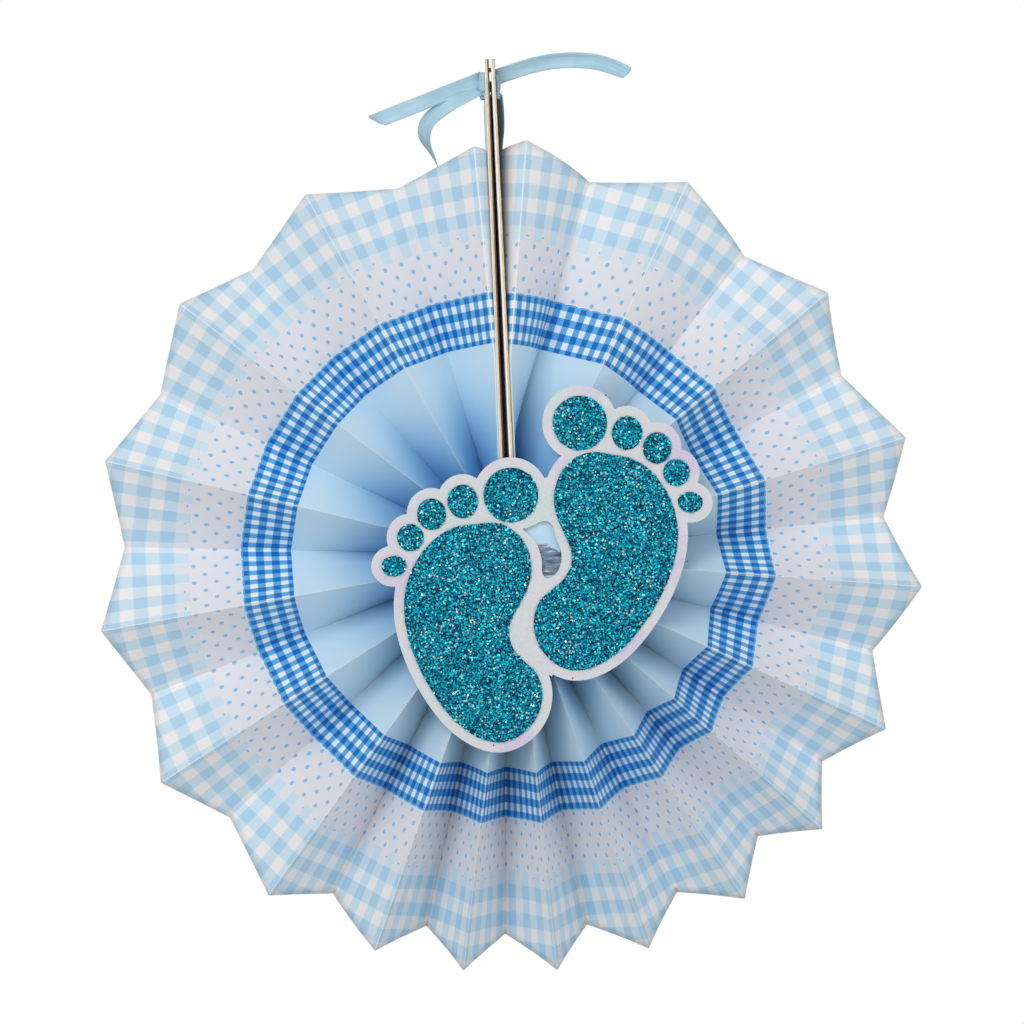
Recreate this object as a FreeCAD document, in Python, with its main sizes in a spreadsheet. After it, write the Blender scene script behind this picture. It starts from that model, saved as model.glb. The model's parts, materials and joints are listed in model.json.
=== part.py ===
import FreeCAD, Part
import math
import os
from FreeCAD import Matrix, Placement, Rotation, Vector

# A hanging paper fan rosette: one pleated printed strip opened into a full circle between two
# card strips, which a ribbon ties together at the top, with a pair of glittered footprints glued
# on the front. Millimetres, +Z up, the front faces -Y. The origin is the hanging eye, the middle
# of the holes that the ribbon is tied through. The hub lies straight below it.

SIZES = [
    ("tip_radius", 152.4, "hub to the point of a front fold"),
    ("last_tip_radius", 150.4, "hub to the rounded point of the last front fold"),
    ("notch_radius", 142.0, "hub to the notch of a back fold"),
    ("hub_radius", 6.0, "hub to the inner ends of the pleats"),
    ("panel_width", 33.6, "front fold to back fold, along the paper"),
    ("paper_thickness", 0.3, "printed paper"),
    ("crease_depth", 1.0, "depth that a pleat keeps when it is pulled flat"),
    ("cling_radius", 72.0, "hub to where the end folds part from the cards"),
    ("hold_radius", 42.0, "hub to where the first back fold parts from the right card"),
    ("peel", 1.42, "free paper beside a card, for each part that its fold stands off the card"),
    ("layer_pitch", 0.45, "between folds pressed together beside a card"),
    ("card_thickness", 1.5, "chipboard"),
    ("card_gap", 0.8, "between the two cards at the eye"),
    ("card_overhang", 30.0, "card beyond the points of the fan"),
    ("card_corner", 8.0, "rounding of the card's top corners"),
    ("card_splay", 0.5, "degrees that the left card leans out towards the hub"),
    ("eye_inset", 9.0, "card's top end to the hanging eye"),
    ("eye_diameter", 6.0, "punched hole"),
    ("glue_thickness", 1.0, "glue between the pleats and the footprints"),
    ("glue_radius", 15.0, "glue puddle"),
    ("glue_clearance", 0.1, "around the glue inside the hub"),
    ("plate_thickness", 1.5, "footprint card"),
    ("plate_margin", 3.8, "footprint card beyond the glitter"),
    ("glitter_thickness", 0.4, "glitter layer"),
    ("ribbon_width", 5.0, "satin ribbon"),
    ("ribbon_thickness", 0.5, "satin ribbon"),
    ("loop_turn", 50.0, "degrees that the loop's face turns away from the front"),
    ("knot_thickness", 1.2, "ribbon wrapped on the card's face"),
    ("knot_length", 10.0, "knot, along the card"),
    ("knot_clearance", 0.1, "between the knot and the card's face"),
    ("bundle_clearance", 1.2, "around the ribbon where it passes the holes"),
]

# Directions of the folds about the hub, in degrees clockwise from the top, as the opened fan
# lies: wide beside the cards, bunched at the bottom.
FRONT_FOLDS = [4.7, 28, 53, 76, 97, 117.5, 134, 148.5, 163.5, 176.5,
               189.5, 202, 218.5, 240, 262.5, 286, 310, 333, 357.3]
BACK_FOLDS = [15, 41, 64.5, 87, 107.5, 126, 141, 156, 170.5,
              183, 195, 210, 229.5, 251.5, 274, 297.5, 321, 346]

# Rows of points of the sheet, as shares of the way from its inner end to the hold radius. The
# folds press together near the hub, so the rows are closer there.
INNER_ROWS = [0, 1 / 9, 7 / 18]

# Free folds on each side, counted from the card, that its layers push aside near the hub.
CROWDED_FOLDS = 4

# Outline of a left sole and the places of its toes, from the middle of the big toe.
SOLE = [(-9.8, -9.8), (0.6, -13.3), (5.4, -21), (5.6, -31), (0.6, -41), (-3.1, -49.5),
        (-0.5, -58), (6.2, -65.5), (7.9, -74.5), (3.2, -84.5), (-7.5, -89.8), (-20, -85),
        (-31.5, -71), (-39, -53), (-40.3, -34.5), (-32.5, -18.5), (-21.5, -11)]
TOES = [("big_toe", (0, 0), 9.9, 9.9), ("second_toe", (-17.6, -1.5), 5.5, 6.1),
        ("third_toe", (-29.2, -5.6), 5.2, 5.7), ("fourth_toe", (-37.3, -13.7), 4.8, 4.9),
        ("little_toe", (-43.7, -23.8), 4.5, 3.7)]

# Each footprint: the middle of its big toe from the hub, its turn in degrees and its side.
FOOTPRINTS = [("left", (0.1, 22.7), 0.0, 1), ("right", (26.5, 47.7), -9.6, -1)]

# The footprint card between the feet, from the hub: the area that joins them and the window in it.
JOIN = [(12.8, 28.4), (7.8, 17.7), (3.5, 9.8), (6, -0.3), (4.5, -10.2), (1.1, -18.1), (-1.2, -26),
        (-0.1, -34), (6.1, -40.3), (11.9, -44.2), (13.6, -40.7), (10.4, -33.5), (7.8, -25.4), (8.2, -16.4),
        (13.6, -9.6), (19.4, -1.9), (18.5, 9.1), (15.9, 19.3), (14.2, 28.4)]
WINDOW = [(4.3, 10.3), (9.1, 11.9), (13.3, 12.3), (14.6, 11.2), (15.8, 6.7), (17.4, 1.8), (17.5, -2),
          (16.2, -5.6), (13.8, -7.8), (11.8, -8.3), (10.5, -7), (10.3, -2.8), (9.5, 2.1), (7.3, 6.4)]

# Routes of the ribbon's tails and loop, level with the hanging eye and sideways from the middle
# of the knot on their own side.
LEFT_TAIL = [(-0.3, -0.5, 2.4), (-39.6, -4.0, -11.6)]
RIGHT_TAIL = [(0.3, -0.5, 3.0), (14.4, -2.5, 7.6), (29.4, -4.0, 8.4), (41.5, -4.5, 6.2),
              (48.6, -4.5, 1.8)]
LOOP = [(-0.3, -2.0, -1.8), (-10.4, -3.5, -4.8), (-24.2, 1.0, -14.4), (-15.4, 13.5, -28.5),
        (-14.4, 24.0, -42.5), (-17.8, 27.0, -57.0), (-9.6, 27.5, -69.5), (2.4, 27.5, -69.5),
        (10.4, 27.0, -57.0), (7.0, 26.5, -43.5), (1.6, 23.0, -31.0), (1.2, 14.0, -20.5),
        (2.0, 4.5, -11.0), (0.9, 0.5, -2.2)]

doc = FreeCAD.newDocument("paper_fan_rosette")
sheet = doc.addObject("Spreadsheet::Sheet", "Sizes")
for row, (word, amount, use) in enumerate(SIZES, start=1):
    sheet.set(f"A{row}", word)
    sheet.set(f"B{row}", str(amount))
    sheet.set(f"C{row}", use)
    sheet.setAlias(f"B{row}", word)
doc.recompute()
size = {word: float(sheet.get(word)) for word, amount, use in SIZES}

eye_height = size["tip_radius"] + size["card_overhang"] - size["eye_inset"]
half_width = size["panel_width"] / 2
inner_face = size["card_gap"] / 2
outer_face = inner_face + size["card_thickness"]
HUB = Placement(Vector(0, 0, -eye_height), Rotation())
HUB_HEIGHT = "-(Sizes.tip_radius + Sizes.card_overhang - Sizes.eye_inset)"


def add_shape(name, shape, placement):
    """A document object that holds a shape of the part's own making."""
    piece = doc.addObject("Part::Feature", name)
    piece.Label = name
    piece.Shape = shape
    piece.Placement = placement
    return piece


def merged(shape):
    """A fused shape as its one solid, or as it is where it has more."""
    plain = shape.removeSplitter()
    return plain.Solids[0] if len(plain.Solids) == 1 else plain


def bind(piece, **sizes):
    """Tie properties of a document object to cells of the sheet."""
    for name, text in sizes.items():
        piece.setExpression(name.replace("_", "."), text)


# The two card strips.

def card_sketch(body):
    """Upright strip with two rounded top corners and the punched eye at the origin."""
    plane = [p for p in body.Origin.OriginFeatures if p.Role == "YZ_Plane"][0]
    sketch = body.newObject("Sketcher::SketchObject", body.Name + "_outline")
    sketch.AttachmentSupport = [(plane, "")]
    sketch.MapMode = "FlatFace"
    top = size["eye_inset"]
    foot = size["hub_radius"] - eye_height
    bend = size["card_corner"]
    side = half_width
    flat = Vector(0, 0, 1)
    right_bend = Part.Circle(Vector(side - bend, top - bend, 0), flat, bend)
    left_bend = Part.Circle(Vector(bend - side, top - bend, 0), flat, bend)
    sketch.addGeometry([
        Part.LineSegment(Vector(-side, foot, 0), Vector(side, foot, 0)),
        Part.LineSegment(Vector(side, foot, 0), Vector(side, top - bend, 0)),
        Part.ArcOfCircle(right_bend, 0, math.pi / 2),
        Part.LineSegment(Vector(side - bend, top, 0), Vector(bend - side, top, 0)),
        Part.ArcOfCircle(left_bend, math.pi / 2, math.pi),
        Part.LineSegment(Vector(-side, top - bend, 0), Vector(-side, foot, 0)),
        Part.Circle(Vector(0, 0, 0), flat, size["eye_diameter"] / 2),
    ], False)
    add_card_constraints(sketch)
    return sketch


def add_card_constraints(sketch):
    """Hold the strip's outline to the sheet."""
    from Sketcher import Constraint
    held = size["hub_radius"] - eye_height
    sketch.addConstraint([
        Constraint("Coincident", 0, 2, 1, 1), Constraint("Coincident", 5, 2, 0, 1),
        Constraint("Tangent", 1, 2, 2, 1), Constraint("Tangent", 2, 2, 3, 1),
        Constraint("Tangent", 3, 2, 4, 1), Constraint("Tangent", 4, 2, 5, 1),
        Constraint("Horizontal", 0), Constraint("Vertical", 1),
        Constraint("Horizontal", 3), Constraint("Vertical", 5),
        Constraint("Equal", 2, 4), Constraint("Coincident", 6, 3, -1, 1),
    ])
    named = [
        ("bend", Constraint("Radius", 2, size["card_corner"]), "Sizes.card_corner"),
        ("hole", Constraint("Radius", 6, size["eye_diameter"] / 2), "Sizes.eye_diameter / 2"),
        ("breadth", Constraint("DistanceX", 0, 1, 0, 2, size["panel_width"]), "Sizes.panel_width"),
        ("side", Constraint("DistanceX", 0, 1, -1, 1, half_width), "Sizes.panel_width / 2"),
        ("top", Constraint("DistanceY", -1, 1, 3, 1, size["eye_inset"]), "Sizes.eye_inset"),
        ("foot", Constraint("DistanceY", 0, 1, -1, 1, -held),
         "Sizes.tip_radius + Sizes.card_overhang - Sizes.eye_inset - Sizes.hub_radius"),
    ]
    for name, constraint, text in named:
        index = sketch.addConstraint(constraint)
        sketch.renameConstraint(index, name)
        sketch.setExpression("Constraints." + name, text)


def add_card(name, side):
    """One card strip, on the right for side 1 and leaning out on the left for side -1."""
    body = doc.addObject("PartDesign::Body", name)
    body.Label = name
    sketch = card_sketch(body)
    pad = body.newObject("PartDesign::Pad", name + "_board")
    pad.Profile = sketch
    pad.Length = size["card_thickness"]
    pad.setExpression("Length", "Sizes.card_thickness")
    sketch.Visibility = False
    if side > 0:
        body.setExpression("Placement.Base.x", "Sizes.card_gap / 2")
    else:
        body.Placement = Placement(Vector(), Rotation(Vector(0, 1, 0), size["card_splay"]))
        body.setExpression("Placement.Base.x", "-Sizes.card_gap / 2 - Sizes.card_thickness")
        body.setExpression("Placement.Rotation.Angle", "Sizes.card_splay")
    return body


# The pleated sheet.

def turned(angle, radius, depth):
    """Point at a direction, a distance from the hub and a depth."""
    turn = math.radians(angle)
    return Vector(radius * math.sin(turn), depth, radius * math.cos(turn))


def paper_face(side, radius):
    """Sideways place of the paper's middle where it is glued on a card's outer face."""
    face = outer_face + size["paper_thickness"] / 2
    if side > 0:
        return face
    return -face - (eye_height - radius) * math.tan(math.radians(size["card_splay"]))


def rim_depth(spacing):
    """Half the depth that panels a given angle apart leave between their folds at the rim."""
    chord = 2 * size["notch_radius"] * math.sin(math.radians(spacing / 2))
    opening = min(1.0, chord / size["panel_width"])
    return max(size["crease_depth"], half_width * math.sqrt(1 - opening ** 2))


def back_depths():
    """Depth at the rim of each back fold, from its two neighbours in front."""
    neighbours = zip(FRONT_FOLDS, FRONT_FOLDS[1:])
    return [rim_depth((after - before) / 2) for before, after in neighbours]


def fold_radii(last):
    """Distances from the hub of the points along one fold."""
    reach = size["hold_radius"] - size["hub_radius"]
    rows = [size["hub_radius"] + share * reach for share in INNER_ROWS]
    return rows + [size["hold_radius"], size["cling_radius"], last]


def clear_of_cards(point, order):
    """A fold's point, moved sideways where the layers beside the card take its room."""
    if order >= CROWDED_FOLDS or point.z < 0:
        return point
    side = math.copysign(1, point.x)
    taken = abs(paper_face(side, point.z)) + (order + 2) * size["layer_pitch"]
    return Vector(side * max(abs(point.x), taken), point.y, point.z)


def free_fold(angle, radius, depths, order):
    """Points of a straight fold that fans out from the hub, with its place in the order of folds."""
    points = []
    for place in fold_radii(radius):
        share = (place - size["hub_radius"]) / (radius - size["hub_radius"])
        point = turned(angle, place, depths[0] + share * (depths[1] - depths[0]))
        points.append(clear_of_cards(point, order))
    return points


def held_fold(angle, rim):
    """Points of the first back fold: pressed to the right card, then straight out to the rim."""
    end = turned(angle, size["notch_radius"], rim)
    points = []
    for place in fold_radii(size["notch_radius"]):
        held = paper_face(1, place) + 2 * size["layer_pitch"]
        away = max(0.0, (place - size["hold_radius"]) / (size["notch_radius"] - size["hold_radius"]))
        along = (place - size["hub_radius"]) / (size["notch_radius"] - size["hub_radius"])
        up = min(place, size["hold_radius"])
        points.append(Vector(held + away * (end.x - held), half_width + along * (rim - half_width),
                             up + away * (end.z - up)))
    return points


def card_edge(side):
    """Points of the strip's end, glued along a card's back edge."""
    radii = fold_radii(size["notch_radius"])
    return [Vector(paper_face(side, place), half_width, place) for place in radii]


def stand_off(side, angle, tip_radius, place):
    """How far the front fold beside a card stands off the paper glued on the card."""
    tip = turned(angle, tip_radius, 0)
    full = abs(tip.x) - abs(paper_face(side, tip_radius))
    away = max(0.0, (place - size["cling_radius"]) / (tip_radius - size["cling_radius"]))
    return size["layer_pitch"] + away * (full - size["layer_pitch"])


def end_fold(side, angle, tip_radius):
    """Points of the front fold beside a card: it clings to the card, then parts from it."""
    tip = turned(angle, tip_radius, 0)
    forward = size["peel"] - math.sqrt(size["peel"] ** 2 - 1)
    points = []
    for place in fold_radii(tip_radius):
        off = stand_off(side, angle, tip_radius, place)
        away = max(0.0, (place - size["cling_radius"]) / (tip_radius - size["cling_radius"]))
        points.append(Vector(paper_face(side, place) + side * off, forward * off - half_width,
                             place + away * (tip.z - place)))
    return points


def leaving_line(side, angle, tip_radius):
    """Points of the bend where the paper glued on a card leaves it for the front fold."""
    free = size["peel"] * stand_off(side, angle, tip_radius, tip_radius)
    last = tip_radius - (tip_radius - size["notch_radius"]) * free / size["panel_width"]
    points = []
    for place in fold_radii(last):
        free = size["peel"] * stand_off(side, angle, tip_radius, place)
        points.append(Vector(paper_face(side, place), free - half_width, place))
    return points


def end_lines(side, angle, tip_radius):
    """The strip's end, the bend where it leaves the card and the front fold beside the card."""
    return [card_edge(side), leaving_line(side, angle, tip_radius), end_fold(side, angle, tip_radius)]


def sheet_lines():
    """All fold lines in order round the fan, from the end on the right card to that on the left."""
    behind = back_depths()
    last = 2 * len(BACK_FOLDS) - 2
    lines = end_lines(1, FRONT_FOLDS[0], size["tip_radius"])
    lines.append(held_fold(BACK_FOLDS[0], behind[0]))
    for k in range(1, len(BACK_FOLDS)):
        ahead = -(behind[k - 1] + behind[k]) / 2
        order = min(2 * k - 1, last - 2 * k + 1)
        lines.append(free_fold(FRONT_FOLDS[k], size["tip_radius"], (-half_width, ahead), order))
        order = min(2 * k, last - 2 * k)
        lines.append(free_fold(BACK_FOLDS[k], size["notch_radius"], (half_width, behind[k]), order))
    return lines + end_lines(-1, FRONT_FOLDS[-1], size["last_tip_radius"])[::-1]


def is_front(k, count):
    """True for a fold that points to the front, and for the bends where the paper leaves a card."""
    return k % 2 == 0 or k in (1, count - 2)


def panel_normal(lines, k, row):
    """Direction across the paper of the panel between folds k and k + 1."""
    across = lines[k + 1][row] - lines[k][row]
    near = max(0, row - 1)
    far = min(len(lines[k]) - 1, row + 1)
    along = (lines[k][far] + lines[k + 1][far]) - (lines[k][near] + lines[k + 1][near])
    return across.cross(along).normalize()


def crease_inside(before, here, after):
    """Point where the two inner faces of a crease meet."""
    a = (before - here).normalize()
    c = (after - here).normalize()
    half_angle = max((a - c).Length / 2, 1e-6)
    reach = min(size["paper_thickness"] / 2 / half_angle, 0.6 * size["panel_width"])
    return here + (a + c).normalize() * reach


def face_rows(lines):
    """Points of the front and the back face, two to each fold: its two panels' own corners."""
    half = size["paper_thickness"] / 2
    front = []
    back = []
    for k, line in enumerate(lines):
        front_row = []
        back_row = []
        for row, here in enumerate(line):
            before = panel_normal(lines, max(0, k - 1), row)
            after = panel_normal(lines, min(len(lines) - 2, k), row)
            front_pair = [here + before * half, here + after * half]
            back_pair = [here - before * half, here - after * half]
            if 0 < k < len(lines) - 1:
                inside = crease_inside(lines[k - 1][row], here, lines[k + 1][row])
                if is_front(k, len(lines)):
                    back_pair = [inside, inside]
                else:
                    front_pair = [inside, inside]
            front_row.append(front_pair)
            back_row.append(back_pair)
        front.append(front_row)
        back.append(back_row)
    return front, back


def triangle(a, b, c):
    """Flat three-cornered face, or nothing where two corners meet."""
    if (b - a).cross(c - a).Length < 1e-9:
        return []
    return [Part.Face(Part.makePolygon([a, b, c, a]))]


def skin(near, far):
    """Two triangles for each step between two rows of points that run side by side."""
    faces = []
    for row in range(len(near) - 1):
        faces += triangle(near[row], far[row], far[row + 1])
        faces += triangle(near[row], far[row + 1], near[row + 1])
    return faces


def sheet_faces(front, back):
    """Every face of the pleated sheet: both sides, the crease caps and the cut edges."""
    faces = []
    last = len(front) - 1
    for side in (front, back):
        for k in range(last):
            faces += skin([pair[1] for pair in side[k]], [pair[0] for pair in side[k + 1]])
        for k in range(1, last):
            faces += skin([pair[0] for pair in side[k]], [pair[1] for pair in side[k]])
    for end, pick in ((0, 1), (last, 0)):
        faces += skin([pair[pick] for pair in front[end]], [pair[pick] for pair in back[end]])
    for row in (0, -1):
        faces += cut_edge(front, back, row)
    return faces


def cut_edge(front, back, row):
    """Faces of the paper's cut edge at the hub or at the rim."""
    faces = []
    for k in range(len(front) - 1):
        a, b = front[k][row][1], front[k + 1][row][0]
        c, d = back[k + 1][row][0], back[k][row][1]
        faces += triangle(a, b, c) + triangle(a, c, d)
    for k in range(1, len(front) - 1):
        point, pair = back[k][row][0], front[k][row]
        if not is_front(k, len(front)):
            point, pair = front[k][row][0], back[k][row]
        faces += triangle(point, pair[0], pair[1])
    return faces


def pleated_sheet():
    """The printed strip as one closed solid."""
    front, back = face_rows(sheet_lines())
    shell = Part.makeShell(sheet_faces(front, back))
    shell.sewShape()
    solid = Part.Solid(Part.Shell(shell.Faces))
    if solid.Volume < 0:
        solid.reverse()
    return solid


# The glue at the hub.

def add_hub_glue():
    """Glue that fills the hub and spreads in a puddle under the footprints."""
    plug = doc.addObject("Part::Cylinder", "glue_plug")
    bind(plug, Radius="Sizes.hub_radius - Sizes.glue_clearance", Height="Sizes.panel_width")
    puddle = doc.addObject("Part::Cylinder", "glue_puddle")
    bind(puddle, Radius="Sizes.glue_radius", Height="Sizes.glue_thickness")
    puddle.setExpression("Placement.Base.z", "Sizes.panel_width")
    glue = doc.addObject("Part::Fuse", "hub_glue")
    glue.Label = "hub_glue"
    glue.Base = plug
    glue.Tool = puddle
    glue.Placement = Placement(Vector(0, half_width, 0), Rotation(Vector(1, 0, 0), 90))
    glue.setExpression("Placement.Base.y", "Sizes.panel_width / 2")
    glue.setExpression("Placement.Base.z", HUB_HEIGHT)
    return glue


# The footprints.

def foot_placement(foot):
    """Mirrors, turns and moves an outline drawn about a left big toe to its place on the front."""
    name, middle, turn, side = foot
    place = Matrix()
    place.scale(side, 1, 1)
    place = Rotation(Vector(0, 1, 0), -turn).toMatrix() * place
    place.move(Vector(middle[0], 0, middle[1]))
    return place


def toe_wire(middle, across, up):
    """Oval outline of a toe."""
    spot = Vector(middle[0], 0, middle[1])
    long_axis, short_axis = max(across, up), min(across, up)
    if across > up:
        end, side = spot + Vector(long_axis, 0, 0), spot + Vector(0, 0, short_axis)
    else:
        end, side = spot + Vector(0, 0, long_axis), spot + Vector(short_axis, 0, 0)
    if long_axis - short_axis < 1e-3:
        return Part.Wire(Part.Circle(spot, Vector(0, 1, 0), long_axis).toShape())
    return Part.Wire(Part.Ellipse(end, side, spot).toShape())


def sole_wire():
    """Smooth closed outline of a left sole."""
    curve = Part.BSplineCurve()
    curve.interpolate(Points=[Vector(x, 0, z) for x, z in SOLE], PeriodicFlag=True)
    return Part.Wire(curve.toShape())


def joining_card():
    """The card between the two feet, with its window."""
    corners = [Vector(x, 0, z) for x, z in JOIN]
    area = Part.Face(Part.makePolygon(corners + corners[:1]))
    curve = Part.BSplineCurve()
    curve.interpolate(Points=[Vector(x, 0, z) for x, z in WINDOW], PeriodicFlag=True)
    return area, Part.Face(Part.Wire(curve.toShape()))


def foot_outlines():
    """Name and outline of each glittered field of a left foot."""
    outlines = [("sole", sole_wire())]
    for name, middle, across, up in TOES:
        outlines.append((name, toe_wire(middle, across, up)))
    return outlines


def flat_piece(face, depth, thickness):
    """A sheet of a given thickness in front of a depth."""
    piece = face.copy()
    piece.translate(Vector(0, depth, 0))
    return piece.extrude(Vector(0, -thickness, 0))


def add_footprints():
    """The card under both footprints and each glittered field on it."""
    plate_back = -half_width - size["glue_thickness"]
    glitter_back = plate_back - size["plate_thickness"]
    pieces = []
    grown = []
    for foot in FOOTPRINTS:
        place = foot_placement(foot)
        for name, wire in foot_outlines():
            outline = wire.transformGeometry(place)
            face = Part.Face(outline)
            wider = face.makeOffset2D(size["plate_margin"]).toNurbs()
            grown.append(flat_piece(wider, plate_back, size["plate_thickness"]))
            field = flat_piece(face, glitter_back, size["glitter_thickness"])
            pieces.append(add_shape(f"{foot[0]}_{name}_glitter", field, HUB))
    area, window = joining_card()
    grown.append(flat_piece(area, plate_back, size["plate_thickness"]))
    hole = flat_piece(window, plate_back, size["plate_thickness"])
    card = merged(grown[0].fuse(grown[1:])).cut(hole)
    pieces.append(add_shape("footprint_card", merged(card), HUB))
    return pieces


# The ribbon.

def knot_reach():
    """Sideways distance from the eye to the middle of the knot's wrap on either card."""
    return outer_face + size["knot_clearance"] + size["knot_thickness"] / 2


def corner_radius(before, corner, after):
    """Radius of the arc that rounds one corner of a route."""
    run_in, run_out = corner - before, after - corner
    turn = run_in.getAngle(run_out)
    return 0.45 * min(run_in.Length, run_out.Length) / math.tan(turn / 2)


def route_wire(points):
    """Straight runs joined by tangent arcs through hand-set points."""
    corners = [Vector(x + math.copysign(knot_reach(), x), y, z) for x, y, z in points]
    edges = []
    start = corners[0]
    for before, corner, after in zip(corners, corners[1:], corners[2:]):
        run_in = (before - corner).normalize()
        run_out = (after - corner).normalize()
        reach = 0.45 * min((before - corner).Length, (after - corner).Length)
        radius = corner_radius(before, corner, after)
        middle_way = (run_in + run_out).normalize()
        half_turn = run_in.getAngle(run_out) / 2
        middle = corner + middle_way * (radius / math.sin(half_turn) - radius)
        arc_start, arc_end = corner + run_in * reach, corner + run_out * reach
        edges.append(Part.LineSegment(start, arc_start).toShape())
        edges.append(Part.Arc(arc_start, middle, arc_end).toShape())
        start = arc_end
        print(f"ribbon corner radius {radius:.1f} mm")
    edges.append(Part.LineSegment(start, corners[-1]).toShape())
    return Part.Wire(edges)


def ribbon_section(path, turn):
    """Flat section at the start of a route, its face turned from the front about the route."""
    first = path.Edges[0]
    start = first.valueAt(first.FirstParameter)
    along = first.tangentAt(first.FirstParameter)
    level = along.cross(Vector(0, 1, 0)).normalize()
    across = Rotation(along, turn).multVec(level) * (size["ribbon_width"] / 2)
    through = along.cross(across).normalize() * (size["ribbon_thickness"] / 2)
    corners = [start + across + through, start + across - through,
               start - across - through, start - across + through]
    return Part.makePolygon(corners + corners[:1])


def ribbon_strip(points, turn):
    """A flat ribbon along a route."""
    path = route_wire(points)
    sweep = Part.BRepOffsetAPI.MakePipeShell(path)
    sweep.setFrenetMode(False)
    sweep.setTransitionMode(1)
    sweep.add(ribbon_section(path, turn))
    sweep.build()
    sweep.makeSolid()
    solid = sweep.shape()
    if solid.Volume < 0:
        solid.reverse()
    plain = path.Length * size["ribbon_width"] * size["ribbon_thickness"]
    print(f"ribbon strip {path.Length:.1f} mm, volume {solid.Volume:.1f} for {plain:.1f}")
    return solid


def knot_wrap(side):
    """Ribbon wrapped flat on one card's outer face."""
    face = outer_face + size["knot_clearance"]
    low = face if side > 0 else -face - size["knot_thickness"]
    corner = Vector(low, -size["ribbon_width"] / 2, -size["knot_length"] / 2)
    return Part.makeBox(size["knot_thickness"], size["ribbon_width"], size["knot_length"], corner)


def add_ribbon():
    """One ribbon: wraps on both cards, the bundle through their holes, two tails and the loop."""
    radius = size["eye_diameter"] / 2 - size["bundle_clearance"]
    start = Vector(-knot_reach(), 0, 0)
    bundle = Part.makeCylinder(radius, 2 * knot_reach(), start, Vector(1, 0, 0))
    strips = [ribbon_strip(LEFT_TAIL, 0), ribbon_strip(RIGHT_TAIL, 0)]
    strips.append(ribbon_strip(LOOP, size["loop_turn"]))
    ribbon = bundle.fuse([knot_wrap(1), knot_wrap(-1)] + strips)
    return add_shape("hanging_ribbon", merged(ribbon), Placement())


def check(piece):
    """Stop if a piece failed, or has no sound shape."""
    doc.recompute()
    for thing in doc.Objects:
        if "Invalid" in thing.State or "Error" in thing.State:
            raise RuntimeError(thing.Name + " failed: " + str(thing.State))
    if piece.Shape.isNull() or not piece.Shape.isValid():
        raise RuntimeError(piece.Label + " has no sound shape")


def build():
    """All pieces of the fan."""
    pieces = [add_shape("pleated_fan", pleated_sheet(), HUB)]
    pieces += [add_card("right_end_card", 1), add_card("left_end_card", -1)]
    pieces.append(add_hub_glue())
    pieces += add_footprints()
    pieces.append(add_ribbon())
    return pieces


def export(pieces):
    """Write each piece to a file of its own name."""
    os.makedirs("parts", exist_ok=True)
    for piece in pieces:
        check(piece)
    for piece in pieces:
        piece.Shape.exportStep(f"parts/{piece.Label}.step")
        print(piece.Label, len(piece.Shape.Solids), "solid", round(piece.Shape.Volume, 1))


export(build())
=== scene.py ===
import json
import math
import random
import bmesh
import bpy
from mathutils import Matrix, Quaternion, Vector
from mathutils.bvhtree import BVHTree

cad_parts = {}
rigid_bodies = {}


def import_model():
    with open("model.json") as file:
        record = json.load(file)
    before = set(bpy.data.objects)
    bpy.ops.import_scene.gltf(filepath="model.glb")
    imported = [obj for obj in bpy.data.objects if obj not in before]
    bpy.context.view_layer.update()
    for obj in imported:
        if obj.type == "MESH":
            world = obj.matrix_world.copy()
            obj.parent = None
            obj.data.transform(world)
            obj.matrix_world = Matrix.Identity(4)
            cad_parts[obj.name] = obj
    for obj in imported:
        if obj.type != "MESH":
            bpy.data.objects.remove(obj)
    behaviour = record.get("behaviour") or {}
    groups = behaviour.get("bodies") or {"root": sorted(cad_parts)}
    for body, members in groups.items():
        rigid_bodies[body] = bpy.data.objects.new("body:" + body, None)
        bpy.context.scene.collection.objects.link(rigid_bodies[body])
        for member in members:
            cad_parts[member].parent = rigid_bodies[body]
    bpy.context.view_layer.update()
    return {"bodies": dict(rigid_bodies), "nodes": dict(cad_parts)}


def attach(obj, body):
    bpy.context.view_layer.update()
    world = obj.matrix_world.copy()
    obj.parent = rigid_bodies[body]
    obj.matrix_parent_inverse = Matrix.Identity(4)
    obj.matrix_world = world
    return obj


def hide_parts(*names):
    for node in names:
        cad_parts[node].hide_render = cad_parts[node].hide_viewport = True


# A hanging paper fan rosette. Metres in the row frame: +Z up, the front faces -Y, and the origin is
# the hanging eye. The sheet and the ribbon follow the same fold directions and routes as the part.

# The sheet: how far its front folds, back folds and inner edge lie from the hub, and a panel's width.
TIP, LAST_TIP, NOTCH, HUB_RADIUS = 0.1524, 0.1504, 0.142, 0.006
PANEL, PAPER, CREASE = 0.0336, 0.0003, 0.001
# The panels beside the cards: pressed on as far as HOLD and CLING, then peeling off the card.
CLING, HOLD, PEEL, LAYER = 0.072, 0.042, 1.42, 0.00045
# The end cards, the eye above the hub and the front of the footprint card.
CARD, GAP, SPLAY = 0.0015, 0.0008, math.radians(0.5)
EYE_HEIGHT = 0.1734
FRONT_OF_CARD = -0.0193
HUB = Vector((0, 0, -EYE_HEIGHT))
# The ribbon: its real width, the width that shows and where it leaves the knot.
RIBBON, SHOWN_WIDTH, KNOT_REACH = 0.005, 0.0056, 0.0026

FRONT_FOLDS = [4.7, 28, 53, 76, 97, 117.5, 134, 148.5, 163.5, 176.5,
               189.5, 202, 218.5, 240, 262.5, 286, 310, 333, 357.3]
BACK_FOLDS = [15, 41, 64.5, 87, 107.5, 126, 141, 156, 170.5,
              183, 195, 210, 229.5, 251.5, 274, 297.5, 321, 346]

PANELS = len(FRONT_FOLDS) + len(BACK_FOLDS) + 1

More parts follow.
